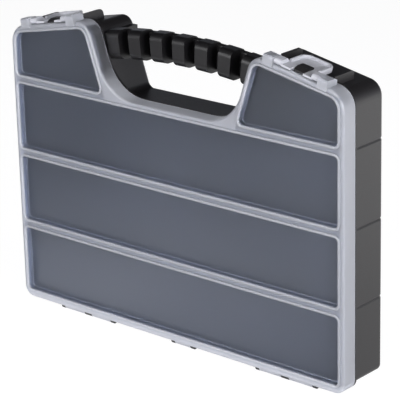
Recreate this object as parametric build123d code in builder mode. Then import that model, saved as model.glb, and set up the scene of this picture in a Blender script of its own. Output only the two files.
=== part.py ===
"""Compartment organizer box, standing upright on its hinge edge.

A black four-row tray is closed by a milky see-through lid that swings down on a row of moulded hinges.
Two latches on the lid's sloping shoulders hook over catches on the tray, beside the carrying handle.
Millimetres, +Z up, +X along the width, the lid facing -Y; the origin is the middle of the footprint.
"""
import os
from math import cos, degrees, radians, sin, tan

from build123d import *

# Case
TRAY_REAR = 60.5
FRONT_REACH = 2.0
CASE_DEPTH = TRAY_REAR + FRONT_REACH
FRONT_Y = FRONT_REACH - CASE_DEPTH / 2
PLAY = 0.4

# Lid outline, as seen from the front
LID_HALF_WIDTH = 186.3
LID_DEPTH = 15.1
LID_WALL = 1.6
LID_BOTTOM_Z = 8.0
SHOULDER_ANGLE = 11.0
SHOULDER_FLAT = 29.7
SHOULDER_RISE = 63.55
CUTOUT_ANGLE = 18.5
SHOULDER_WIDTH = 116.0
CUTOUT_RIM = 1.05
BOTTOM_CORNER_R = 10.0
LEAST_CORNER_R = 4.5
TOP_CORNER_R = 18.5
SHOULDER_R = 15.0
CUTOUT_R = 42.0

# Rows, from the bottom up
BOTTOM_ROW = 73.0
ROW_PITCH = 69.2
ROW_WALL_COUNT = 3
ROW_WALL = 2.0

# Lid windows
WINDOW_BOTTOM_RIM = 7.9
WINDOW_GAP = 8.35
WINDOW_SIDE_RIM = 5.85
WINDOW_TOP_RIM = 6.4
WINDOW_CUTOUT_RIM = 5.2
WINDOW_CORNER_R = 4.0
WINDOW_TOP_R = 10.0
WINDOW_PEAK_R = 8.5
WINDOW_RECESS = 5.5
BEAD_WIDTH = 2.6
BEAD_RISE = 1.5
BEAD_ROUND = 0.9
LID_EDGE_ROUND = 2.0
RECESS_ROUND = 1.2

# Tray
TRAY_WALL = 2.0
TRAY_FLOOR = 2.0
TRAY_INSET = 4.6
TRAY_CUTOUT_INSET = 2.6
TRAY_CUTOUT_DROP = 3.9
TRAY_BOTTOM_Z = 10.3
TRAY_CUTOUT_R = 7.0
TRAY_REAR_ROUND = 5.0
FLOOR_ROUND = 3.0
TONGUE_INSET = 2.2
TONGUE_WALL = 1.2
TONGUE_FRONT = 7.6
FLANGE_FRONT = 15.5
FLANGE_THICKNESS = 1.7
FLANGE_PROUD = 0.2
CREASE_DEPTH = 0.6
CREASE_HALF = 1.6
CREASE_DROP = 3.0
CREASE_STOP = 26.9
FOOT_SIDE = 71.3
FOOT_LENGTH = 30.0
FOOT_FRONT = 45.0
FOOT_DEPTH = 9.0

# Hinge
HINGE_DEPTH = 13.0
HINGE_Z = 3.0
PIN_R = 1.5
PIN_FIT = 0.05
CLIP_R = 2.8
CLIP_MOUTH = 2.4
CLIP_ARM_REAR = 1.8
LUG_R = 3.0
LUG_FRONT = 2.5
LUG_REAR = 7.5
LUG_STEP_Z = 6.0
HINGE_SIDE = 37.3
LUG_END = 3.6
LUG_MIDDLE = 8.2
CLIP_OUTER = 25.0
CLIP_INNER = 23.5
CLIP_CENTRE = 18.0

# Latches, measured from the middle of each shoulder
LATCH_SIDE = 48.3
LATCH_AXIS_DEPTH = 2.5
LATCH_AXIS_RISE = 3.2
BARREL_R = 2.6
TRUNNION_R = 1.5
TRUNNION_FIT = 0.05
TRUNNION_END = 28.5
PLATE_HALF_WIDTH = 16.0
PLATE_FRONT = 1.0
PLATE_BOTTOM = 0.6
PLATE_TOP = 2.4
PLATE_REAR = 33.0
PLATE_CORNER_R = 8.0
LIP_FRONT = 12.0
LIP_WALL = 2.6
LIP_TOP = 5.0
LIP_ROUND = 0.9
ARM_OUTER = 23.0
ARM_REAR = 12.0
ARM_SLOPE = 3.4
EAR_INNER = 23.4
EAR_OUTER = 33.0
EAR_REAR = 11.5
EAR_TOP = 6.2
EAR_NOSE = 5.0
EAR_CHAMFER = 1.2
EAR_APRON = 3.0
EAR_BACK = 3.4
HOOK_WINDOW_HALF = 6.5
HATCH_HALF = 7.4
HATCH_FRONT = 3.0
HOOK_WINDOW_REAR = 17.0
CATCH_HALF = 5.8
CATCH_FRONT = 5.0
CATCH_REAR = 16.6
CATCH_TOP = 3.4
CATCH_RAMP = 4.5
FIN_INNER = 25.6
FIN_THICKNESS = 2.2
FIN_REAR = 42.0
FIN_TOP = 4.0
FIN_R = 4.5

# Handle
GRIP_ARC_R = 565.0
GRIP_DROP = 2.6
GRIP_HEIGHT = 26.6
GRIP_DEPTH = 19.5
GRIP_FRONT = 15.5
GRIP_CORNER_R = 6.0
GRIP_UNDER_R = 8.0
BAND_WIDTH = 13.8
BAND_COUNT = 7
CORE_DROP = 1.6
CORE_FRONT_DROP = 12.5
CORE_CORNER_R = 2.0
GRIP_WALL = 2.4
SADDLE_OUT = 13.7
SADDLE_DROP = 9.4
SADDLE_HEIGHT = 16.0
SADDLE_REAR = 57.0
TENON_DEPTH = 10.0
TENON_HEIGHT = 12.0
TENON_DROP = 9.0
TENON_LENGTH = 13.0
TENON_PLAY = 0.2

# Dividers
DIVIDER_THICKNESS = 1.4
DIVIDER_PITCH = 63.4
DIVIDER_FRONT = 7.5
DIVIDER_CORNER = 5.0
DIVIDER_COLUMNS = (-2, -1, 0, 1, 2)
DIVIDERS = (
    ("divider_upper_left", 2, -1),
    ("divider_upper_middle", 2, 0),
    ("divider_upper_right", 2, 1),
    ("divider_lower_middle", 1, 0),
)
RIB_WIDTH = 1.2
RIB_HEIGHT = 1.5
RIB_FRONT = 12.0
RIB_REAR = 53.0

# Places that follow from the sizes above
CUTOUT_HALF_WIDTH = LID_HALF_WIDTH - SHOULDER_WIDTH
SHOULDER_X = CUTOUT_HALF_WIDTH + SHOULDER_FLAT
ROW_WALL_Z = [LID_BOTTOM_Z + BOTTOM_ROW + row * ROW_PITCH for row in range(ROW_WALL_COUNT)]
CUTOUT_Z = ROW_WALL_Z[-1] + CUTOUT_RIM
SHOULDER_Z = CUTOUT_Z + SHOULDER_RISE
WINDOW_LOW_Z = [LID_BOTTOM_Z + WINDOW_BOTTOM_RIM, *[z + WINDOW_GAP / 2 for z in ROW_WALL_Z]]
WINDOW_HIGH_Z = [z - WINDOW_GAP / 2 for z in ROW_WALL_Z]
TRAY_CUTOUT_Z = CUTOUT_Z - TRAY_CUTOUT_DROP
TONGUE_CUTOUT_Z = CUTOUT_Z - TONGUE_INSET
TRAY_HALF_WIDTH = LID_HALF_WIDTH - TRAY_INSET
REAR_Y = FRONT_Y + TRAY_REAR
LATCH_X = LID_HALF_WIDTH - LATCH_SIDE
GRIP_TOP_Z = SHOULDER_Z - GRIP_DROP
SADDLE_X = CUTOUT_HALF_WIDTH + SADDLE_OUT
SADDLE_TOP_Z = GRIP_TOP_Z - SADDLE_DROP
SADDLE_BOTTOM_Z = SADDLE_TOP_Z - SADDLE_HEIGHT
TENON_Z = SADDLE_TOP_Z - TENON_DROP
TENON_REACH = SADDLE_X + TENON_LENGTH
BAND_PITCH = (2 * SADDLE_X - BAND_WIDTH) / (BAND_COUNT - 1)
GRIP_AXIS = Axis((0, 0, GRIP_TOP_Z - GRIP_ARC_R), (0, 1, 0))
WINDOWS = range(len(WINDOW_HIGH_Z) + 2)
SIDES = (-1, 1)


def front_plane(depth):
    """Plane across the case, a given depth behind the lid's front."""
    return Plane(origin=(0, FRONT_Y + depth, 0), x_dir=(1, 0, 0), z_dir=(0, -1, 0))


def shoulder_z(x, inset=0.0):
    """Height of the sloping shoulder line at x, set in from the lid's edge."""
    slope = radians(SHOULDER_ANGLE)
    return SHOULDER_Z - (abs(x) - SHOULDER_X) * tan(slope) - inset / cos(slope)


def cutout_x(z, inset=0.0):
    """Half width of the handle cutout at height z, set in from the lid's edge."""
    lean = radians(CUTOUT_ANGLE)
    return CUTOUT_HALF_WIDTH + (z - CUTOUT_Z) * tan(lean) + inset / cos(lean)


def shoulder_corner(top_inset, cutout_inset):
    """Where the shoulder line meets the cutout's leaning side."""
    slope = tan(radians(SHOULDER_ANGLE))
    lean = tan(radians(CUTOUT_ANGLE))
    z = (shoulder_z(0, top_inset) - slope * cutout_x(0, cutout_inset)) / (1 + slope * lean)
    return cutout_x(z, cutout_inset), z


def case_face(inset, cutout_inset, bottom, floor, floor_radius):
    """Front outline of the case, with the cutout for the handle."""
    half = LID_HALF_WIDTH - inset
    right = [
        (half, bottom),
        (half, shoulder_z(half, inset)),
        shoulder_corner(inset, cutout_inset),
        (cutout_x(floor, cutout_inset), floor),
    ]
    bottom_radius = max(BOTTOM_CORNER_R - inset, LEAST_CORNER_R)
    radii = [bottom_radius, TOP_CORNER_R - inset, SHOULDER_R - inset, floor_radius]
    left = [(-x, z) for x, z in reversed(right)]
    with BuildSketch() as face:
        with BuildLine():
            FilletPolyline(*right, *left, radius=[*radii, *reversed(radii)], close=True)
        make_face()
    return face.sketch


def row_top(row, x):
    """Underside of the wall over a row at x; under the cutout it is lower."""
    if row == ROW_WALL_COUNT - 1 and abs(x) < CUTOUT_HALF_WIDTH:
        return TRAY_CUTOUT_Z - TRAY_WALL
    return ROW_WALL_Z[row] - ROW_WALL / 2


def window_face(index, grow):
    """Outline of one lid window, grown outward; the last two are the shoulder windows."""
    half = LID_HALF_WIDTH - WINDOW_SIDE_RIM
    low = WINDOW_LOW_Z[min(index, len(WINDOW_HIGH_Z))]
    if index < len(WINDOW_HIGH_Z):
        high = WINDOW_HIGH_Z[index]
        corners = [(-half, low), (half, low), (half, high), (-half, high)]
        radii = [WINDOW_CORNER_R] * len(corners)
    else:
        side = 1 if index == len(WINDOW_HIGH_Z) else -1
        peak_x, peak_z = shoulder_corner(WINDOW_TOP_RIM, WINDOW_CUTOUT_RIM)
        corners = [
            (side * half, low),
            (side * half, shoulder_z(half, WINDOW_TOP_RIM)),
            (side * peak_x, peak_z),
            (side * cutout_x(low, WINDOW_CUTOUT_RIM), low),
        ]
        radii = [WINDOW_CORNER_R, WINDOW_TOP_R, WINDOW_PEAK_R, WINDOW_CORNER_R]
    with BuildSketch() as face:
        with BuildLine():
            FilletPolyline(*corners, radius=radii, close=True)
        make_face()
        if grow:
            offset(amount=grow, kind=Kind.ARC, mode=Mode.REPLACE)
    return face.sketch


def shoulder_plane(side, rise=0.0):
    """Plane on a shoulder: local x along the slope, local y into the depth, facing up."""
    slope = radians(SHOULDER_ANGLE)
    up = Vector(side * sin(slope), 0, cos(slope))
    middle = Vector(side * LATCH_X, FRONT_Y, shoulder_z(LATCH_X))
    return Plane(origin=middle + up * rise, x_dir=(cos(slope), 0, -side * sin(slope)), z_dir=up)


def shoulder_section(side, along):
    """Plane across a shoulder: local x into the depth, local y up, facing along the slope."""
    base = shoulder_plane(side)
    return Plane(origin=base.origin + base.x_dir * along, x_dir=(0, 1, 0), z_dir=base.x_dir)


def grip_plane(along):
    """Plane across the handle's arc, a given length along it; local x into the depth, local y outward."""
    turn = along / GRIP_ARC_R
    reach = GRIP_ARC_R - GRIP_HEIGHT / 2
    middle_y = FRONT_Y + GRIP_FRONT + GRIP_DEPTH / 2
    origin = (reach * sin(turn), middle_y, GRIP_TOP_Z - GRIP_ARC_R + reach * cos(turn))
    return Plane(origin=origin, x_dir=(0, 1, 0), z_dir=(cos(turn), 0, -sin(turn)))


def hinge_runs(start, *lengths):
    """Lugs and clips in turn from start, as (start, end) spans; the even ones are lugs."""
    spans = []
    for length in lengths:
        spans.append((start, start + length))
        start += length + PLAY
    return spans


def hinge_plane(x):
    """Plane across the hinge; local x into the depth, local y up, facing along the hinge."""
    return Plane(origin=(x, FRONT_Y + HINGE_DEPTH, HINGE_Z), x_dir=(0, 1, 0), z_dir=(1, 0, 0))


# Hinge runs: one in the middle, and one towards either side
middle_run = hinge_runs(-CLIP_CENTRE / 2 - PLAY - LUG_END, LUG_END, CLIP_CENTRE, LUG_END)
left_run = hinge_runs(HINGE_SIDE - LID_HALF_WIDTH, LUG_END, CLIP_OUTER, LUG_MIDDLE, CLIP_INNER, LUG_END)
right_run = [(-end, -start) for start, end in reversed(left_run)]
HINGE_RUNS = (left_run, middle_run, right_run)

# Troughs: the five hollows between the row walls, rounded where they meet the floor
trough_bottom = TRAY_BOTTOM_Z + TRAY_WALL
with BuildPart() as troughs:
    with BuildSketch(front_plane(FLANGE_FRONT)):
        trough_insets = (TRAY_INSET + TRAY_WALL, TRAY_CUTOUT_INSET + TRAY_WALL)
        add(case_face(*trough_insets, trough_bottom, TRAY_CUTOUT_Z - TRAY_WALL, 0))
        with Locations(*[(0, z) for z in ROW_WALL_Z]):
            Rectangle(2 * LID_HALF_WIDTH, ROW_WALL, mode=Mode.SUBTRACT)
    extrude(amount=FLANGE_FRONT + TRAY_FLOOR - TRAY_REAR)
    fillet(troughs.edges().group_by(Axis.Y)[-1], FLOOR_ROUND)
    with BuildSketch(front_plane(TONGUE_FRONT)):
        inner = TONGUE_INSET + TONGUE_WALL
        add(case_face(inner, inner, trough_bottom, TONGUE_CUTOUT_Z - TONGUE_WALL, CUTOUT_R))
        with Locations(*[(0, z) for z in ROW_WALL_Z]):
            Rectangle(2 * LID_HALF_WIDTH, ROW_WALL, mode=Mode.SUBTRACT)
    extrude(amount=TONGUE_FRONT - FLANGE_FRONT)

# Tray: a tub, a flange behind the lid's edge and a tongue inside the lid
with BuildPart() as base_tray:
    with BuildSketch(front_plane(FLANGE_FRONT)):
        add(case_face(TRAY_INSET, TRAY_CUTOUT_INSET, TRAY_BOTTOM_Z, TRAY_CUTOUT_Z, TRAY_CUTOUT_R))
    extrude(amount=FLANGE_FRONT - TRAY_REAR)
    fillet(base_tray.faces().sort_by(Axis.Y)[-1].edges(), TRAY_REAR_ROUND)
    with BuildSketch(front_plane(FLANGE_FRONT)):
        add(case_face(-FLANGE_PROUD, -FLANGE_PROUD, LID_BOTTOM_Z, CUTOUT_Z + FLANGE_PROUD, CUTOUT_R))
        Rectangle(2 * LID_HALF_WIDTH, 2 * TRAY_BOTTOM_Z, mode=Mode.SUBTRACT)
    extrude(amount=-FLANGE_THICKNESS)
    with BuildSketch(front_plane(TONGUE_FRONT)):
        add(case_face(TONGUE_INSET, TONGUE_INSET, TRAY_BOTTOM_Z, TONGUE_CUTOUT_Z, CUTOUT_R))
    extrude(amount=TONGUE_FRONT - FLANGE_FRONT)
    add(troughs.part, mode=Mode.SUBTRACT)

    # Creases round the outside, a little below the row walls; the top one stops short of the cutout
    front_y = FRONT_Y + FLANGE_FRONT
    right_turn = [(TRAY_HALF_WIDTH, front_y), (TRAY_HALF_WIDTH, REAR_Y)]
    left_turn = [(-x, y) for x, y in right_turn]
    crease_stop = CUTOUT_HALF_WIDTH + CREASE_STOP
    crease_turns = [(z, [*right_turn, *reversed(left_turn)]) for z in ROW_WALL_Z[:-1]]
    crease_turns.append((ROW_WALL_Z[-1], [*right_turn, (crease_stop, REAR_Y)]))
    crease_turns.append((ROW_WALL_Z[-1], [*left_turn, (-crease_stop, REAR_Y)]))
    for z, turn in crease_turns:
        with BuildLine(Plane.XY.offset(z - CREASE_DROP)) as crease:
            FilletPolyline(*turn, radius=TRAY_REAR_ROUND)
        with BuildSketch(Plane(origin=crease.line @ 0, x_dir=(1, 0, 0), z_dir=crease.line % 0)):
            with BuildLine():
                Polyline(
                    (CREASE_DEPTH, 0), (0, CREASE_HALF), (-CREASE_DEPTH, 0), (0, -CREASE_HALF), close=True
                )
            make_face()
        sweep(path=crease.line, mode=Mode.SUBTRACT)

    # Feet under the tray, and the hinge lugs and pins along its front bottom edge
    with Locations(*[(side * (LID_HALF_WIDTH - FOOT_SIDE), FRONT_Y + FOOT_FRONT, 0) for side in SIDES]):
        foot_top = TRAY_BOTTOM_Z + TRAY_WALL / 2
        Box(FOOT_LENGTH, FOOT_DEPTH, foot_top, align=(Align.CENTER, Align.MIN, Align.MIN))
    lug_top = TRAY_BOTTOM_Z + TRAY_WALL / 2 - HINGE_Z
    for start, end in [span for run in HINGE_RUNS for span in run[::2]]:
        with BuildSketch(hinge_plane(start)):
            Circle(LUG_R)
            with BuildLine():
                Polyline(
                    (0, -LUG_R),
                    (LUG_REAR, lug_top),
                    (LUG_FRONT, lug_top),
                    (LUG_FRONT, LUG_STEP_Z - HINGE_Z),
                    (0, LUG_R),
                    close=True,
                )
            make_face()
        extrude(amount=end - start)
    for run in HINGE_RUNS:
        with BuildSketch(hinge_plane(run[0][0])):
            Circle(PIN_R)
        extrude(amount=run[-1][1] - run[0][0])

    # Catches and guard fins on the shoulders
    catch_foot = -TONGUE_INSET - TONGUE_WALL / 2
    fin_foot = -TRAY_INSET - TRAY_WALL / 2
    for side in SIDES:
        with BuildSketch(shoulder_section(side, -CATCH_HALF)):
            with BuildLine():
                Polyline(
                    (CATCH_FRONT, catch_foot),
                    (CATCH_FRONT, CATCH_TOP - CATCH_RAMP / 2),
                    (CATCH_FRONT + CATCH_RAMP, CATCH_TOP),
                    (CATCH_REAR, CATCH_TOP),
                    (CATCH_REAR, catch_foot),
                    close=True,
                )
            make_face()
        extrude(amount=2 * CATCH_HALF)
        for along in (-FIN_INNER - FIN_THICKNESS, FIN_INNER):
            with BuildSketch(shoulder_section(side, along)):
                with BuildLine():
                    FilletPolyline(
                        (FLANGE_FRONT, fin_foot),
                        (FLANGE_FRONT, FIN_TOP),
                        (FIN_REAR, FIN_TOP),
                        (FIN_REAR, fin_foot),
                        radius=(0, 0, FIN_R, 0),
                        close=True,
                    )
                make_face()
            extrude(amount=FIN_THICKNESS)

    # Ribs that hold the dividers
    for row in range(ROW_WALL_COUNT):
        low = trough_bottom if row == 0 else ROW_WALL_Z[row - 1] + ROW_WALL / 2
        with BuildSketch(front_plane(RIB_FRONT)):
            for column in DIVIDER_COLUMNS:
                for side in SIDES:
                    x = column * DIVIDER_PITCH + side * (DIVIDER_THICKNESS / 2 + PLAY / 2 + RIB_WIDTH / 2)
                    with Locations((x, low), (x, row_top(row, x))):
                        Rectangle(RIB_WIDTH, 2 * RIB_HEIGHT)
        extrude(amount=RIB_FRONT - RIB_REAR)

    # Sockets for the ends of the handle
    with Locations((0, FRONT_Y + GRIP_FRONT + GRIP_DEPTH / 2, TENON_Z)):
        Box(2 * TENON_REACH, TENON_DEPTH + 2 * TENON_PLAY, TENON_HEIGHT + 2 * TENON_PLAY, mode=Mode.SUBTRACT)

# Lid: a shallow shell with five sunken windows, each ringed by a raised bead
with BuildPart() as lid:
    with BuildSketch(front_plane(0)):
        add(case_face(0, 0, LID_BOTTOM_Z, CUTOUT_Z, CUTOUT_R))
    extrude(amount=-LID_DEPTH)
    fillet(lid.faces().sort_by(Axis.Y)[0].edges(), LID_EDGE_ROUND)
    with BuildSketch(front_plane(LID_WALL)):
        add(case_face(LID_WALL, LID_WALL, LID_BOTTOM_Z + LID_WALL, CUTOUT_Z - LID_WALL, CUTOUT_R + LID_WALL))
    extrude(amount=LID_WALL - LID_DEPTH, mode=Mode.SUBTRACT)
    with BuildSketch(front_plane(-BEAD_RISE)):
        for index in WINDOWS:
            add(window_face(index, BEAD_WIDTH))
    extrude(amount=-BEAD_RISE - LID_WALL / 2)
    with BuildSketch(front_plane(-BEAD_RISE)):
        for index in WINDOWS:
            add(window_face(index, LID_WALL))
    extrude(amount=-BEAD_RISE - WINDOW_RECESS - LID_WALL)
    with BuildSketch(front_plane(-BEAD_RISE)):
        for index in WINDOWS:
            add(window_face(index, 0))
    extrude(amount=-BEAD_RISE - WINDOW_RECESS, mode=Mode.SUBTRACT)
    bead_y = FRONT_Y - BEAD_RISE
    fillet(lid.edges().filter_by_position(Axis.Y, bead_y, bead_y), BEAD_ROUND)
    recess_y = FRONT_Y + WINDOW_RECESS
    fillet(lid.edges().filter_by_position(Axis.Y, recess_y, recess_y), RECESS_ROUND)

    # Ears for the latches, and hatches that the tray's catches stand in
    for side in SIDES:
        for along in (-EAR_OUTER, EAR_INNER):
            with BuildSketch(shoulder_section(side, along)):
                with BuildLine():
                    Polyline(
                        (LID_WALL / 2, -LID_WALL / 2),
                        (LID_WALL / 2, -EAR_APRON),
                        (-FRONT_REACH, -EAR_APRON),
                        (-FRONT_REACH, EAR_NOSE),
                        (EAR_CHAMFER - FRONT_REACH, EAR_TOP),
                        (EAR_REAR - EAR_BACK, EAR_TOP),
                        (EAR_REAR, EAR_TOP - EAR_BACK / 2),
                        (EAR_REAR, -LID_WALL / 2),
                        close=True,
                    )
                make_face()
            extrude(amount=EAR_OUTER - EAR_INNER)
        with BuildSketch(shoulder_section(side, -TRUNNION_END - PLAY)):
            with Locations((LATCH_AXIS_DEPTH, LATCH_AXIS_RISE)):
                Circle(TRUNNION_R + TRUNNION_FIT)
        extrude(amount=2 * (TRUNNION_END + PLAY), mode=Mode.SUBTRACT)
        with BuildSketch(shoulder_plane(side, PLATE_BOTTOM)):
            with Locations((0, HATCH_FRONT)):
                Rectangle(2 * HATCH_HALF, LID_DEPTH, align=(Align.CENTER, Align.MIN))
        extrude(amount=-PLATE_BOTTOM - 2 * LID_WALL, mode=Mode.SUBTRACT)

    # Snap-on hinge clips that hang from the bottom edge
    clip_top = LID_BOTTOM_Z + LID_WALL / 2 - HINGE_Z
    for start, end in [span for run in HINGE_RUNS for span in run[1::2]]:
        with BuildSketch(hinge_plane(start)):
            Circle(CLIP_R)
            with Locations((-CLIP_R, 0)):
                Rectangle(CLIP_R + CLIP_ARM_REAR, clip_top, align=Align.MIN)
        extrude(amount=end - start)
        with BuildSketch(hinge_plane(start)):
            Circle(PIN_R + PIN_FIT)
            Rectangle(2 * CLIP_R, CLIP_MOUTH, align=(Align.MIN, Align.CENTER))
        extrude(amount=end - start, mode=Mode.SUBTRACT)

# Latch: a hooked plate with a finger lip, swinging on two trunnions
with BuildPart() as latch_right:
    with BuildSketch(shoulder_plane(1, PLATE_BOTTOM)):
        with BuildLine():
            FilletPolyline(
                (-PLATE_HALF_WIDTH, PLATE_FRONT),
                (PLATE_HALF_WIDTH, PLATE_FRONT),
                (PLATE_HALF_WIDTH, PLATE_REAR),
                (-PLATE_HALF_WIDTH, PLATE_REAR),
                radius=(0, 0, PLATE_CORNER_R, PLATE_CORNER_R),
                close=True,
            )
        make_face()
    extrude(amount=LIP_TOP - PLATE_BOTTOM)
    with BuildSketch(shoulder_plane(1, PLATE_TOP)):
        with BuildLine():
            inner = PLATE_HALF_WIDTH - LIP_WALL
            FilletPolyline(
                (-inner, 0), (inner, 0), (inner, PLATE_REAR - LIP_WALL), (-inner, PLATE_REAR - LIP_WALL),
                radius=(0, 0, PLATE_CORNER_R - LIP_WALL, PLATE_CORNER_R - LIP_WALL),
                close=True,
            )
        make_face()
        Rectangle(2 * PLATE_HALF_WIDTH, LIP_FRONT, align=(Align.CENTER, Align.MIN))
    extrude(amount=LIP_TOP - PLATE_TOP, mode=Mode.SUBTRACT)
    lip_top = latch_right.faces().sort_by(Axis((0, 0, 0), shoulder_plane(1).z_dir))[-1]
    fillet(lip_top.edges(), LIP_ROUND)
    for start, end in ((-ARM_OUTER, -PLATE_HALF_WIDTH + PLAY), (PLATE_HALF_WIDTH - PLAY, ARM_OUTER)):
        with BuildSketch(shoulder_section(1, start)):
            with BuildLine():
                Polyline(
                    (LATCH_AXIS_DEPTH, PLATE_BOTTOM),
                    (ARM_REAR, PLATE_BOTTOM),
                    (ARM_REAR, PLATE_TOP),
                    (ARM_REAR - ARM_SLOPE, LATCH_AXIS_RISE + BARREL_R),
                    (LATCH_AXIS_DEPTH, LATCH_AXIS_RISE + BARREL_R),
                    close=True,
                )
            make_face()
            with Locations((LATCH_AXIS_DEPTH, LATCH_AXIS_RISE)):
                Circle(BARREL_R)
        extrude(amount=end - start)
    with BuildSketch(shoulder_plane(1, PLATE_BOTTOM)):
        Rectangle(2 * HOOK_WINDOW_HALF, HOOK_WINDOW_REAR, align=(Align.CENTER, Align.MIN))
    extrude(amount=LIP_TOP - PLATE_BOTTOM, mode=Mode.SUBTRACT)
    for start, end in ((-TRUNNION_END, PLAY - ARM_OUTER), (ARM_OUTER - PLAY, TRUNNION_END)):
        with BuildSketch(shoulder_section(1, start)):
            with Locations((LATCH_AXIS_DEPTH, LATCH_AXIS_RISE)):
                Circle(TRUNNION_R)
        extrude(amount=end - start)

with BuildPart() as latch_left:
    mirror(latch_right.part, about=Plane.YZ)

# Handle: an arched bar with seven raised bands, wedged between the shoulders
with BuildPart() as handle:
    core_depth = GRIP_DEPTH - CORE_FRONT_DROP - CORE_DROP
    core_height = GRIP_HEIGHT - 2 * CORE_DROP
    with BuildSketch(grip_plane(-TENON_REACH)):
        with Locations(((CORE_FRONT_DROP - CORE_DROP) / 2, 0)):
            RectangleRounded(core_depth, core_height, CORE_CORNER_R)
    revolve(axis=GRIP_AXIS, revolution_arc=degrees(2 * TENON_REACH / GRIP_ARC_R))
    band_corners = [
        (-GRIP_DEPTH / 2, -GRIP_HEIGHT / 2),
        (GRIP_DEPTH / 2, -GRIP_HEIGHT / 2),
        (GRIP_DEPTH / 2, GRIP_HEIGHT / 2),
        (-GRIP_DEPTH / 2, GRIP_HEIGHT / 2),
    ]
    band_radii = [GRIP_UNDER_R, GRIP_CORNER_R, GRIP_CORNER_R, GRIP_CORNER_R]
    for band in range(BAND_COUNT):
        middle = (band - (BAND_COUNT - 1) / 2) * BAND_PITCH
        with BuildSketch(grip_plane(middle - BAND_WIDTH / 2)):
            with BuildLine():
                FilletPolyline(*band_corners, radius=band_radii, close=True)
            make_face()
        revolve(axis=GRIP_AXIS, revolution_arc=degrees(BAND_WIDTH / GRIP_ARC_R))
    saddle_front = FLANGE_FRONT + FLANGE_THICKNESS + PLAY
    with BuildSketch(front_plane(saddle_front)):
        for side in SIDES:
            with BuildLine():
                Polyline(
                    (side * SADDLE_X, SADDLE_TOP_Z),
                    (side * cutout_x(SADDLE_TOP_Z, TRAY_CUTOUT_INSET), SADDLE_TOP_Z),
                    (side * cutout_x(SADDLE_BOTTOM_Z, TRAY_CUTOUT_INSET), SADDLE_BOTTOM_Z),
                    (side * SADDLE_X, SADDLE_BOTTOM_Z),
                    close=True,
                )
            make_face()
    extrude(amount=saddle_front - SADDLE_REAR)
    for depth, inset in ((0, PLAY + FLANGE_PROUD), (saddle_front, PLAY - TRAY_CUTOUT_INSET)):
        with BuildSketch(front_plane(depth)):
            for side in SIDES:
                with BuildLine():
                    Polyline(
                        (side * cutout_x(CUTOUT_Z, -inset), CUTOUT_Z),
                        (side * cutout_x(GRIP_TOP_Z, -inset), GRIP_TOP_Z),
                        (side * LID_HALF_WIDTH, GRIP_TOP_Z),
                        (side * LID_HALF_WIDTH, CUTOUT_Z),
                        close=True,
                    )
                make_face()
        extrude(amount=-(CASE_DEPTH if depth else saddle_front), mode=Mode.SUBTRACT)
    with BuildSketch(grip_plane(-SADDLE_X + GRIP_WALL)):
        with Locations((CORE_FRONT_DROP + GRIP_WALL - GRIP_DEPTH / 2, 0)):
            Rectangle(GRIP_DEPTH, core_height - 2 * GRIP_WALL, align=(Align.MIN, Align.CENTER))
    hollow_turn = degrees(2 * (SADDLE_X - GRIP_WALL) / GRIP_ARC_R)
    revolve(axis=GRIP_AXIS, revolution_arc=hollow_turn, mode=Mode.SUBTRACT)
    band_hollow = BAND_WIDTH - 2 * GRIP_WALL
    for band in range(BAND_COUNT):
        middle = (band - (BAND_COUNT - 1) / 2) * BAND_PITCH
        with BuildSketch(grip_plane(middle - band_hollow / 2)):
            with Locations((GRIP_WALL - GRIP_DEPTH / 2, 0)):
                Rectangle(GRIP_DEPTH, core_height - 2 * GRIP_WALL, align=(Align.MIN, Align.CENTER))
        revolve(axis=GRIP_AXIS, revolution_arc=degrees(band_hollow / GRIP_ARC_R), mode=Mode.SUBTRACT)
    with Locations(*[(side * SADDLE_X, FRONT_Y + GRIP_FRONT + GRIP_DEPTH / 2, TENON_Z) for side in SIDES]):
        Box(2 * (TENON_REACH - SADDLE_X), TENON_DEPTH, TENON_HEIGHT)

pieces = {
    "base_tray": base_tray,
    "lid": lid,
    "latch_left": latch_left,
    "latch_right": latch_right,
    "handle": handle,
}

# Dividers: loose plates that stand between the ribs of two rows
for name, row, column in DIVIDERS:
    low = ROW_WALL_Z[row - 1] + ROW_WALL / 2 + PLAY
    high = row_top(row, column * DIVIDER_PITCH) - PLAY
    front = FRONT_Y + DIVIDER_FRONT
    rear = REAR_Y - TRAY_FLOOR - PLAY
    with BuildPart() as divider:
        with BuildSketch(Plane.YZ.offset(column * DIVIDER_PITCH)):
            with BuildLine():
                Polyline(
                    (front, low),
                    (rear - DIVIDER_CORNER, low),
                    (rear, low + DIVIDER_CORNER),
                    (rear, high - DIVIDER_CORNER),
                    (rear - DIVIDER_CORNER, high),
                    (front, high),
                    close=True,
                )
            make_face()
        extrude(amount=DIVIDER_THICKNESS / 2, both=True)
    pieces[name] = divider

os.makedirs("parts", exist_ok=True)
for name, piece in pieces.items():
    piece.part.label = name
    export_step(piece.part, f"parts/{name}.step")
    box = piece.part.bounding_box()
    print(name, len(piece.part.solids()), round(piece.part.volume), box.min, box.max)
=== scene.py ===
# %% [markdown]
# # A compartment organizer box, dressed in its plastics
#
# The box is a black tray with a milky see-through lid. Its shapes come from the packed
# model, in metres: X runs along the width, Y from the lid to the back, and Z up. This
# script gives every moulding the plastic it is made of, and sets up a plain studio with the
# photograph's camera.

from math import cos, radians, sin

import bpy
from mathutils import Matrix, Vector


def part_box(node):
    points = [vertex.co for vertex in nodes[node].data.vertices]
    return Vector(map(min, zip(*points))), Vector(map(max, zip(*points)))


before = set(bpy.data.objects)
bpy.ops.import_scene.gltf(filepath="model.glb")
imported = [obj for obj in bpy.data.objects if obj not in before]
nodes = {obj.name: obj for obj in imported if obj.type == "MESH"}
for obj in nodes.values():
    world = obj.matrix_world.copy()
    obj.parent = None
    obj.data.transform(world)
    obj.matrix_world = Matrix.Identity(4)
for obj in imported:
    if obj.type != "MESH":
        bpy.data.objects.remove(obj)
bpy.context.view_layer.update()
print("nodes:", sorted(nodes))

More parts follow.
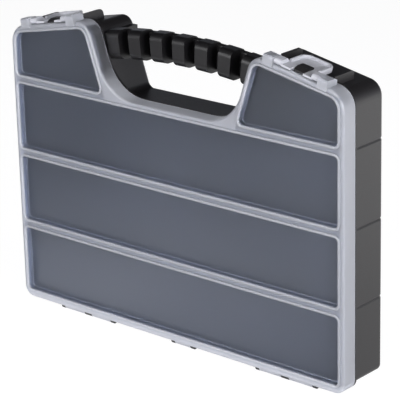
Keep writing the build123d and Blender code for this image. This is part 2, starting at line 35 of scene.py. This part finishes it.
# %% [markdown]
# ## Helpers
#
# Colours are picked as sRGB hex values, the way a colour picker shows them, but Blender's
# shaders work in linear light, so one function converts them. A second function adds a
# shader node, sets it and links it in a single call, which keeps a material readable.

# %% Colour and node helpers
MM = 0.001


def linear(hex_colour):
    """An sRGB hex colour as linear RGBA."""
    channels = [int(hex_colour[i:i + 2], 16) / 255 for i in (1, 3, 5)]
    return [c / 12.92 if c <= 0.04045 else ((c + 0.055) / 1.055) ** 2.4 for c in channels] + [1.0]


def add_node(material, kind, inputs=None, **settings):
    """Adds one shader node; inputs are constants, or sockets to link from."""
    tree = material.node_tree
    made = tree.nodes.new(kind)
    for name, value in settings.items():
        setattr(made, name, value)
    for key, value in (inputs or {}).items():
        if isinstance(value, bpy.types.NodeSocket):
            tree.links.new(value, made.inputs[key])
        else:
            made.inputs[key].default_value = value
    return made


print("colour and node helpers ready")

# %% [markdown]
# ## Putting a material on
#
# A moulding is one colour right through, so each CAD node takes a single material. It is
# linked to the object and not to the mesh, and the mesh itself is left alone.

# %% Material helpers
def new_material(name):
    """An empty node material with only its output, ready for a shader."""
    material = bpy.data.materials.new(name)
    material.use_nodes = True
    material.node_tree.nodes.clear()
    add_node(material, "ShaderNodeOutputMaterial")
    return material


def set_surface(material, shader):
    """Links a shader to the material's output."""
    output = next(n for n in material.node_tree.nodes if n.type == "OUTPUT_MATERIAL")
    material.node_tree.links.new(shader.outputs[0], output.inputs["Surface"])


def dress(node_name, material):
    """Puts one material on a CAD node's object, and leaves its mesh alone."""
    piece = nodes[node_name]
    for index in range(max(1, len(piece.material_slots))):
        if not piece.material_slots:
            piece.data.materials.append(material)
        piece.material_slots[index].link = "OBJECT"
        piece.material_slots[index].material = material


print("material helpers ready")

# %% [markdown]
# ## Black polypropylene with a spark-eroded texture
#
# The tray is injection moulded in black polypropylene. The steel tool is spark eroded, so
# the plastic has a fine pebbled skin: it looks charcoal where light grazes it and black
# where it does not. A real grain is about 0.2 mm; it is drawn at 0.8 mm so that it shows
# in the render. A much larger, faint mottling is the flow of the melt.

# %% Tray plastic
PLASTIC_IOR = 1.49
GRAIN_MM = 0.8
FLOW_MM = 45.0
NOISE_LOW, NOISE_HIGH = 0.3, 0.7


def black_polypropylene(name, dark, light, rough_low, rough_high, relief_mm, shine):
    """Moulded black plastic with a fine grain and faint flow marks."""
    plastic = new_material(name)
    place = add_node(plastic, "ShaderNodeTexCoord").outputs["Object"]
    flow = add_node(plastic, "ShaderNodeTexNoise", {
        "Vector": place, "Scale": 1 / (FLOW_MM * MM), "Detail": 3.0})
    grain = add_node(plastic, "ShaderNodeTexNoise", {
        "Vector": place, "Scale": 1 / (GRAIN_MM * MM), "Detail": 2.0})
    colour = add_node(plastic, "ShaderNodeMix", {
        "Factor": flow.outputs["Fac"], "A": linear(dark), "B": linear(light)}, data_type="RGBA")
    rough = add_node(plastic, "ShaderNodeMapRange", {
        "Value": grain.outputs["Fac"], "From Min": NOISE_LOW, "From Max": NOISE_HIGH,
        "To Min": rough_low, "To Max": rough_high})
    relief = add_node(plastic, "ShaderNodeBump", {
        "Height": grain.outputs["Fac"], "Strength": 1.0, "Distance": relief_mm * MM})
    shader = add_node(plastic, "ShaderNodeBsdfPrincipled", {
        "Base Color": colour.outputs["Result"], "Roughness": rough.outputs["Result"],
        "Normal": relief.outputs["Normal"], "IOR": PLASTIC_IOR, "Specular IOR Level": shine})
    set_surface(plastic, shader)
    return plastic


tray_plastic = black_polypropylene(
    "black_polypropylene_spark_eroded", "#141315", "#1a181a",
    rough_low=0.36, rough_high=0.48, relief_mm=0.03, shine=0.75)
dress("base_tray", tray_plastic)
print("dressed base_tray in", tray_plastic.name)

# %% [markdown]
# ## Black polypropylene, satin
#
# The handle is moulded in the same plastic from a smoother tool, so that it is kind to the
# hand. Its grain is shallower and its surface smoother, which draws a soft highlight along
# the top of every band.

# %% Handle plastic
handle_plastic = black_polypropylene(
    "black_polypropylene_satin", "#0e0d0f", "#131214",
    rough_low=0.32, rough_high=0.42, relief_mm=0.02, shine=0.5)
dress("handle", handle_plastic)
print("dressed handle in", handle_plastic.name)

# %% [markdown]
# ## Milky polypropylene
#
# The latches and the dividers are natural polypropylene with no pigment. It is never as
# clear as glass: it scatters light inside, so a thick piece such as a latch looks white,
# and a thin plate such as a divider is hazy. A slow noise, about as large as a hand, makes
# the haze a little uneven, as cooling plastic does.

# %% Latch and divider plastic
HAZE_MM = 120.0
HAZE_DEPTH = 0.05


def milky_polypropylene(name, colour, clear, rough):
    """Unpigmented plastic of one clearness, with faint haze."""
    plastic = new_material(name)
    place = add_node(plastic, "ShaderNodeTexCoord").outputs["Object"]
    haze = add_node(plastic, "ShaderNodeTexNoise", {
        "Vector": place, "Scale": 1 / (HAZE_MM * MM), "Detail": 2.0})
    clearness = add_node(plastic, "ShaderNodeMapRange", {
        "Value": haze.outputs["Fac"], "From Min": NOISE_LOW, "From Max": NOISE_HIGH,
        "To Min": clear - HAZE_DEPTH, "To Max": clear})
    shader = add_node(plastic, "ShaderNodeBsdfPrincipled", {
        "Base Color": linear(colour), "Roughness": rough, "IOR": PLASTIC_IOR,
        "Transmission Weight": clearness.outputs["Result"]})
    set_surface(plastic, shader)
    return plastic


latch_plastic = milky_polypropylene("natural_polypropylene_satin", "#cdced6", clear=0.40, rough=0.36)
divider_plastic = milky_polypropylene("natural_polypropylene_plain", "#9a9da6", clear=0.85, rough=0.30)
for side in ("left", "right"):
    dress(f"latch_{side}", latch_plastic)
for name in nodes:
    if name.startswith("divider"):
        dress(name, divider_plastic)
print("dressed latches and dividers")

# %% [markdown]
# ## Where the lid is thick
#
# The lid is the same natural polypropylene, but its walls differ: thick ribs look white,
# and thin polished panels let most light through, so the black tray behind turns them
# slate grey. One material does both. First it needs to know how far a point lies from
# each edge of the lid's outline, which is a dot product with the edge's inward direction.

# %% Distance from the lid's edges
LID_LOW, LID_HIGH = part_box("lid")
LID_BOTTOM_MM = 8.0
CUTOUT_FLOOR_MM = 220.45
CUTOUT_HALF_MM = 70.3
CUTOUT_LEAN = radians(18.5)
SHOULDER_MM = (100.0, 284.0)
SHOULDER_SLOPE = radians(11.0)


def edge_gaps(plastic, place):
    """Sockets for the distance, in metres, from each edge of the lid's outline."""
    side = add_node(plastic, "ShaderNodeVectorMath", {0: place}, operation="ABSOLUTE")
    slope, lean = SHOULDER_SLOPE, CUTOUT_LEAN
    top_reach = SHOULDER_MM[0] * sin(slope) + SHOULDER_MM[1] * cos(slope)
    cutout_reach = CUTOUT_FLOOR_MM * sin(lean) - CUTOUT_HALF_MM * cos(lean)
    lines = {
        "side": ((-1, 0, 0), LID_HIGH.x),
        "bottom": ((0, 0, 1), -LID_BOTTOM_MM * MM),
        "top": ((-sin(slope), 0, -cos(slope)), top_reach * MM),
        "cutout": ((cos(lean), 0, -sin(lean)), cutout_reach * MM),
        "cutout_floor": ((0, 0, -1), CUTOUT_FLOOR_MM * MM),
    }
    gaps = {}
    for edge, (inward, reach) in lines.items():
        along = add_node(plastic, "ShaderNodeVectorMath", {
            0: side.outputs["Vector"], 1: inward}, operation="DOT_PRODUCT")
        gaps[edge] = add_node(plastic, "ShaderNodeMath", {
            0: along.outputs["Value"], 1: reach}, operation="ADD").outputs[0]
    return gaps


print("lid box in metres:", LID_LOW, LID_HIGH)

# %% [markdown]
# ## Rims, beads and skirt
#
# The beads around the windows are the thickest ribs, so they are the whitest; the flat rim
# beside them is a little clearer. Part of the beads' whiteness is a painted highlight, for
# the light that catches their raised edges. The bar along the bottom, which carries the hinge
# clips, is as white as a bead, and so is the skirt over the cutout's floor; the bar's
# whiteness is partly its thickness and partly painted light, for the white floor's bounce
# light on the lower rim. The skirt down the cutout's leaning sides is thin and lies close to
# the black tray, and it is made much clearer than the other skirt, so it looks darker; part
# of this darkening is painted shade, for the shade that the shoulder and the handle cast.

# %% Clearness of the rims
EAR_REACH_MM = 2.0
BEAD_RISE_MM = 1.5
LAND_MM = 0.2
SKIRT_TURN_MM = 2.0
CUTOUT_WALL_MM = (3.0, 22.0)
BAR_MM = (7.0, 9.0)
# The bead value is the bead's own milkiness plus a painted highlight on its raised edge.
BEAD_AND_HIGHLIGHT_CLEAR = 0.66
LAND_CLEAR = 0.74
SKIRT_CLEAR = 0.72
SILL_CLEAR = 0.52
# The cutout's leaning skirt is clearer, so darker: partly the black tray close behind, partly painted
# shade from the shoulder and handle.
CUTOUT_CLEAR_WITH_SHADE = 0.95
# The bar along the bottom is white partly for its thickness, partly as painted light from the white
# floor.
BAR_AND_FLOOR_LIGHT_CLEAR = 0.48
RIM_Y = LID_LOW.y + EAR_REACH_MM * MM


def rim_clearness(plastic, depth, gaps):
    """Socket for how clear the lid is away from its windows."""
    # Whiter on the proud beads: their thickness, and a painted highlight along them.
    bead_and_highlight = add_node(plastic, "ShaderNodeMapRange", {
        "Value": depth, "From Min": RIM_Y - BEAD_RISE_MM * MM, "From Max": RIM_Y - LAND_MM * MM,
        "To Min": BEAD_AND_HIGHLIGHT_CLEAR, "To Max": LAND_CLEAR})
    skirt = add_node(plastic, "ShaderNodeMapRange", {
        "Value": depth, "From Min": RIM_Y + LAND_MM * MM, "From Max": RIM_Y + SKIRT_TURN_MM * MM})
    low_wall, high_wall = CUTOUT_WALL_MM
    # Clearer, so darker, higher up the cutout's leaning skirt: partly painted shade.
    climb = add_node(plastic, "ShaderNodeMapRange", {
        "Value": gaps["cutout_floor"], "From Min": -low_wall * MM, "From Max": -high_wall * MM})
    beside = add_node(plastic, "ShaderNodeMath", {
        0: gaps["cutout"], 1: low_wall * MM}, operation="LESS_THAN").outputs[0]
    cutout_wall_and_shade = add_node(plastic, "ShaderNodeMath", {
        0: climb.outputs["Result"], 1: beside}, operation="MULTIPLY").outputs[0]
    # Whiter bar along the bottom: thickness, and painted bounce light from the floor.
    bar_and_floor_light = add_node(plastic, "ShaderNodeMapRange", {
        "Value": gaps["bottom"], "From Min": BAR_MM[0] * MM, "From Max": BAR_MM[1] * MM,
        "To Min": 1.0, "To Max": 0.0})
    clear = SKIRT_CLEAR
    for share, other in ((beside, SILL_CLEAR), (cutout_wall_and_shade, CUTOUT_CLEAR_WITH_SHADE)):
        clear = add_node(plastic, "ShaderNodeMix", {
            "Factor": share, "A": clear, "B": other}, data_type="FLOAT").outputs["Result"]
    rim = add_node(plastic, "ShaderNodeMix", {
        "Factor": skirt.outputs["Result"], "A": bead_and_highlight.outputs["Result"], "B": clear}, data_type="FLOAT")
    return add_node(plastic, "ShaderNodeMix", {
        "Factor": bar_and_floor_light.outputs["Result"], "A": rim.outputs["Result"], "B": BAR_AND_FLOOR_LIGHT_CLEAR},
        data_type="FLOAT").outputs["Result"]


print("front of the rim at y =", round(RIM_Y, 5))

# %% [markdown]
# ## Windows
#
# A window is a panel that is sunk behind the rim, inside the outline and in front of the
# tray. The mould is polished there, and the wall is thin, so it is nearly clear. It gets a
# little clearer towards the top, so it is paler lower down: that is painted light, for the
# white table's light seen through the lid. A slow noise makes the haze uneven.

# %% Windows of the lid
WINDOW_BACK_MM = 7.5
WINDOW_EDGE_MM = (-0.5, 1.5)
SKIRT_MM = 4.2
# Milkier at the bottom than at the top: painted light from the white table.
WINDOW_CLEAR_LOW = 0.935
WINDOW_CLEAR_HIGH = 0.99
CLOUD = 0.01


def window_mask(plastic, depth, gaps):
    """Socket that is 1 in the sunken windows and 0 on the rims and the skirt."""
    gap = add_node(plastic, "ShaderNodeMath", {
        0: gaps["cutout"], 1: gaps["cutout_floor"]}, operation="MAXIMUM").outputs[0]
    for edge in ("side", "bottom", "top"):
        gap = add_node(plastic, "ShaderNodeMath", {
            0: gap, 1: gaps[edge]}, operation="MINIMUM").outputs[0]
    inside = add_node(plastic, "ShaderNodeMath", {
        0: gap, 1: SKIRT_MM * MM}, operation="GREATER_THAN").outputs[0]
    before = add_node(plastic, "ShaderNodeMath", {
        0: depth, 1: RIM_Y + WINDOW_BACK_MM * MM}, operation="LESS_THAN").outputs[0]
    sunken = add_node(plastic, "ShaderNodeMapRange", {
        "Value": depth, "From Min": RIM_Y + WINDOW_EDGE_MM[0] * MM,
        "From Max": RIM_Y + WINDOW_EDGE_MM[1] * MM}).outputs["Result"]
    for limit in (before, inside):
        sunken = add_node(plastic, "ShaderNodeMath", {
            0: sunken, 1: limit}, operation="MULTIPLY").outputs[0]
    return sunken


def window_clearness(plastic, place, height):
    """Socket for how clear a window is: milkier lower down, which is painted light from the table."""
    painted_table_light = add_node(plastic, "ShaderNodeMapRange", {
        "Value": height, "From Min": LID_LOW.z, "From Max": LID_HIGH.z,
        "To Min": WINDOW_CLEAR_LOW, "To Max": WINDOW_CLEAR_HIGH})
    haze = add_node(plastic, "ShaderNodeTexNoise", {
        "Vector": place, "Scale": 1 / (HAZE_MM * MM), "Detail": 2.0})
    cloud = add_node(plastic, "ShaderNodeMapRange", {
        "Value": haze.outputs["Fac"], "From Min": NOISE_LOW, "From Max": NOISE_HIGH,
        "To Min": -CLOUD, "To Max": CLOUD})
    return add_node(plastic, "ShaderNodeMath", {
        0: painted_table_light.outputs["Result"], 1: cloud.outputs["Result"]}, operation="ADD").outputs[0]


print("windows are clear from", WINDOW_CLEAR_LOW, "to", WINDOW_CLEAR_HIGH)

# %% [markdown]
# ## The lid
#
# The two kinds of wall come together in one polished plastic: the mask picks the window's
# clearness or the rim's, and cools the colour a little in the windows.

# %% Lid plastic
LID_ROUGH = 0.34
RIM_TONE = "#d4d6de"
WINDOW_TONE = "#b9c3da"

lid_plastic = new_material("natural_polypropylene_polished")
place = add_node(lid_plastic, "ShaderNodeTexCoord").outputs["Object"]
split = add_node(lid_plastic, "ShaderNodeSeparateXYZ", {"Vector": place})
gaps = edge_gaps(lid_plastic, place)
window = window_mask(lid_plastic, split.outputs["Y"], gaps)
clearness = add_node(lid_plastic, "ShaderNodeMix", {
    "Factor": window, "A": rim_clearness(lid_plastic, split.outputs["Y"], gaps),
    "B": window_clearness(lid_plastic, place, split.outputs["Z"])}, data_type="FLOAT")
tone = add_node(lid_plastic, "ShaderNodeMix", {
    "Factor": window, "A": linear(RIM_TONE), "B": linear(WINDOW_TONE)}, data_type="RGBA")
set_surface(lid_plastic, add_node(lid_plastic, "ShaderNodeBsdfPrincipled", {
    "Base Color": tone.outputs["Result"], "Roughness": LID_ROUGH, "IOR": PLASTIC_IOR,
    "Transmission Weight": clearness.outputs["Result"]}))
dress("lid", lid_plastic)
print("dressed lid in", lid_plastic.name)

# %% [markdown]
# ## Floor
#
# A product shot on white paper that runs out of view. The paper is white to the camera and
# to rays that pass through plastic. Mirrored in the plastic it is a bright patch in front
# of the box that fades with distance, and a strip behind it that brightens away from the
# box, so the windows and the tray's side wall get the soft gradients of a studio table. It
# lights the box only mildly, so the box keeps its own colours, and it keeps a soft shadow.

# %% Floor
FLOOR_SIZE = 40.0
FLOOR_WHITE = 0.92
BRIGHT_PATCH = (-0.15, -0.13, 0.0)
PATCH_REACH = 0.62
PATCH_FADE = 2.2
PATCH_GLOW = 1.4
REAR_REACH = 0.55
REAR_GLOW = (0.45, 1.25)


def mirrored_glow(paper):
    """Socket for the floor's brightness where plastic mirrors it."""
    place = add_node(paper, "ShaderNodeTexCoord").outputs["Object"]
    depth = add_node(paper, "ShaderNodeSeparateXYZ", {"Vector": place}).outputs["Y"]
    away = add_node(paper, "ShaderNodeVectorMath", {
        0: place, 1: BRIGHT_PATCH}, operation="DISTANCE")
    near = add_node(paper, "ShaderNodeMapRange", {
        "Value": away.outputs["Value"], "From Max": PATCH_REACH, "To Min": 1.0, "To Max": 0.0})
    fade = add_node(paper, "ShaderNodeMath", {
        0: near.outputs["Result"], 1: PATCH_FADE}, operation="POWER")
    patch = add_node(paper, "ShaderNodeMath", {
        0: fade.outputs[0], 1: PATCH_GLOW}, operation="MULTIPLY")
    behind = add_node(paper, "ShaderNodeMath", {0: depth, 1: 0.0}, operation="GREATER_THAN")
    slope = add_node(paper, "ShaderNodeMapRange", {
        "Value": depth, "From Max": REAR_REACH, "To Min": REAR_GLOW[0], "To Max": REAR_GLOW[1]})
    rear = add_node(paper, "ShaderNodeMath", {
        0: behind.outputs[0], 1: slope.outputs["Result"]}, operation="MULTIPLY")
    return add_node(paper, "ShaderNodeMath", {
        0: patch.outputs[0], 1: rear.outputs[0]}, operation="ADD").outputs[0]


paper = new_material("white_paper_sweep")
ray = add_node(paper, "ShaderNodeLightPath")
seen = add_node(paper, "ShaderNodeMath", {
    0: ray.outputs["Is Camera Ray"], 1: ray.outputs["Is Transmission Ray"]}, operation="MAXIMUM")
shown = add_node(paper, "ShaderNodeMath", {
    0: seen.outputs[0], 1: ray.outputs["Is Glossy Ray"]}, operation="MAXIMUM")
strength = add_node(paper, "ShaderNodeMix", {
    "Factor": seen.outputs[0], "A": mirrored_glow(paper), "B": FLOOR_WHITE}, data_type="FLOAT")
matt = add_node(paper, "ShaderNodeBsdfDiffuse", {"Color": linear("#e6e6e8")})
tint = add_node(paper, "ShaderNodeBsdfDiffuse", {"Color": linear("#7a7a7c")})
glow = add_node(paper, "ShaderNodeEmission", {
    "Color": linear("#ffffff"), "Strength": strength.outputs["Result"]})
lit = add_node(paper, "ShaderNodeAddShader", {0: tint.outputs[0], 1: glow.outputs[0]})
set_surface(paper, add_node(paper, "ShaderNodeMixShader", {
    "Fac": shown.outputs[0], 1: matt.outputs[0], 2: lit.outputs[0]}))

bpy.ops.object.select_all(action="DESELECT")
bpy.ops.mesh.primitive_plane_add(size=FLOOR_SIZE, location=(0, 0, 0))
floor = bpy.context.object
floor.name = "studio_floor"
floor.data.materials.append(paper)
print("floor ready")

# %% [markdown]
# ## Surround
#
# The room is dim overhead and paler near the horizon, where white backdrops stand. Black
# plastic that faces up stays black, and the cutout's walls, which mirror the horizon, turn
# charcoal.

# %% Surround
HORIZON = (0.05, 0.42)
HORIZON_GLOW, OVERHEAD_GLOW = 0.60, 0.01
world = bpy.data.worlds.new("white_surround")
bpy.context.scene.world = world
world.use_nodes = True
world.node_tree.nodes.clear()
aim = add_node(world, "ShaderNodeTexCoord").outputs["Generated"]
height = add_node(world, "ShaderNodeSeparateXYZ", {"Vector": aim}).outputs["Z"]
haze = add_node(world, "ShaderNodeMapRange", {
    "Value": height, "From Min": HORIZON[0], "From Max": HORIZON[1],
    "To Min": HORIZON_GLOW, "To Max": OVERHEAD_GLOW})
sky = add_node(world, "ShaderNodeBackground", {
    "Color": linear("#eef2ff"), "Strength": haze.outputs["Result"]})
add_node(world, "ShaderNodeOutputWorld", {"Surface": sky.outputs[0]})
print("surround ready")

# %% [markdown]
# ## Soft boxes
#
# Three large lamps: a key on the right that lights the skirt and the ears, a broad fill in
# front, and a weaker one above the front that picks out the tops of the beads and bands.

# %% Soft boxes
TARGET = Vector((0, 0, 0.145))
SOFT_BOXES = (
    ("key_right", (1.6, -0.5, 0.5), 0.9, 36),
    ("fill_front", (-0.4, -1.9, 0.5), 1.4, 42),
    ("top_front", (0.2, -0.7, 1.7), 0.9, 6),
)

for name, place, size, watts in SOFT_BOXES:
    bpy.ops.object.light_add(type="AREA", location=place)
    lamp = bpy.context.object
    lamp.name = name
    lamp.data.size = size
    lamp.data.energy = watts
    lamp.rotation_euler = (TARGET - Vector(place)).to_track_quat("-Z", "Y").to_euler()
print("soft boxes:", [name for name, *_ in SOFT_BOXES])

# %% [markdown]
# ## Camera
#
# The photograph was taken from the right, a little above the box, with a long lens: the
# rows stay nearly parallel. The camera's place and angles were found by laying the edges
# of the model over the photograph.

# %% Camera
CAMERA_MM = (1104.5, -1256.95, 721.4)
YAW, PITCH, ROLL = radians(41.09), radians(19.39), radians(-1.437)
LENS_MM = 182.9
SENSOR_MM = 36.0
back = Vector((sin(YAW) * cos(PITCH), -cos(YAW) * cos(PITCH), sin(PITCH)))
level = Vector((cos(YAW), sin(YAW), 0))
upward = back.cross(level)
right = cos(ROLL) * level + sin(ROLL) * upward
up = -sin(ROLL) * level + cos(ROLL) * upward
bpy.ops.object.camera_add()
camera = bpy.context.object
camera.name = "photo_camera"
turn = Matrix((right, up, back)).transposed().to_4x4()
camera.matrix_world = Matrix.Translation(Vector(CAMERA_MM) * MM) @ turn
camera.data.lens = LENS_MM
camera.data.sensor_width = SENSOR_MM
bpy.context.scene.camera = camera
bpy.context.scene.view_settings.view_transform = "Standard"
print("camera at", [round(c, 3) for c in camera.location])
